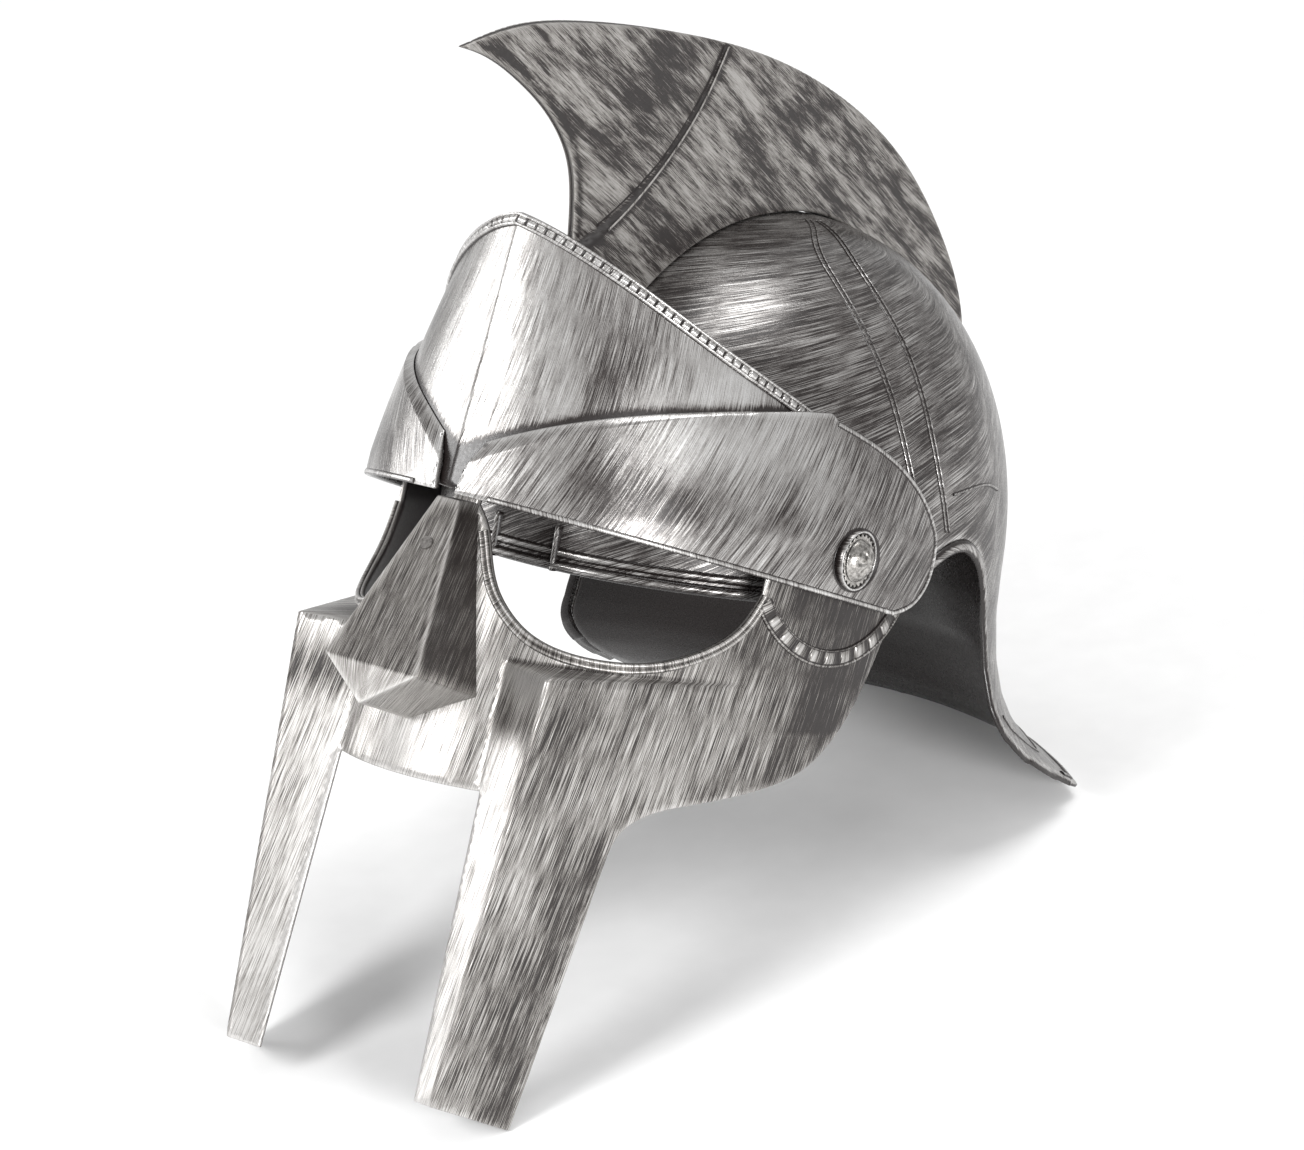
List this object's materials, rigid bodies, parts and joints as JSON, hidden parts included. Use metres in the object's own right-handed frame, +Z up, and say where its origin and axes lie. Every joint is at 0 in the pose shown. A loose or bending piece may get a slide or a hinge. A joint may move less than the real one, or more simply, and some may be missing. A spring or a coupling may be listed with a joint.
{
  "type": "gladiator helmet",
  "caption": "Moulded costume helmet with a tall fin crest, a pointed brow plate and a drop-down face mask with long cheek prongs, hinged at the ears",
  "frame": {"origin": "on the ground under the middle of the helmet's box, as it stands on its two cheek prongs and its neck guard", "axes": "+Z up, -Y the way the face looks, +X the wearer's left; the Y-Z plane is the plane of symmetry"},
  "size_m": [0.215, 0.3934, 0.3448],
  "materials": {
    "silvered_plastic": "black moulded plastic dry-brushed with silver paint",
    "rivet_metal": "stamped bright rivet parts",
    "screw_steel": "plain zinc-plated steel",
    "nylon": "black nylon"
  },
  "bodies": {
    "skull": {"skull_bowl": "silvered_plastic", "crest_left_half": "silvered_plastic", "crest_right_half": "silvered_plastic", "crest_screws": "screw_steel", "crest_screw_washers": "screw_steel", "ear_rivet_left": "rivet_metal", "ear_rivet_right": "rivet_metal", "ear_tooth_washer_left": "rivet_metal", "ear_tooth_washer_right": "rivet_metal", "ear_spacer_left": "nylon", "ear_spacer_right": "nylon", "ear_lock_nut_left": "screw_steel", "ear_lock_nut_right": "screw_steel"},
    "visor": {"diadem": "silvered_plastic", "brow_band_left": "silvered_plastic", "brow_band_right": "silvered_plastic", "brow_studs_left": "nylon", "brow_studs_right": "nylon"},
    "mask": {"face_mask": "silvered_plastic", "nose_guard": "silvered_plastic", "nose_guard_stud": "rivet_metal"}
  },
  "joints": [
    {"name": "visor_lift", "type": "hinge", "parent": "skull", "child": "visor", "pos_m": [0, -0.00208, 0.14739], "axis": [-1, 0, 0], "range_deg": [0, 8]},
    {"name": "mask_drop", "type": "hinge", "parent": "visor", "child": "mask", "pos_m": [0, -0.00208, 0.14739], "axis": [1, 0, 0], "range_deg": [0, 20]}
  ]
}
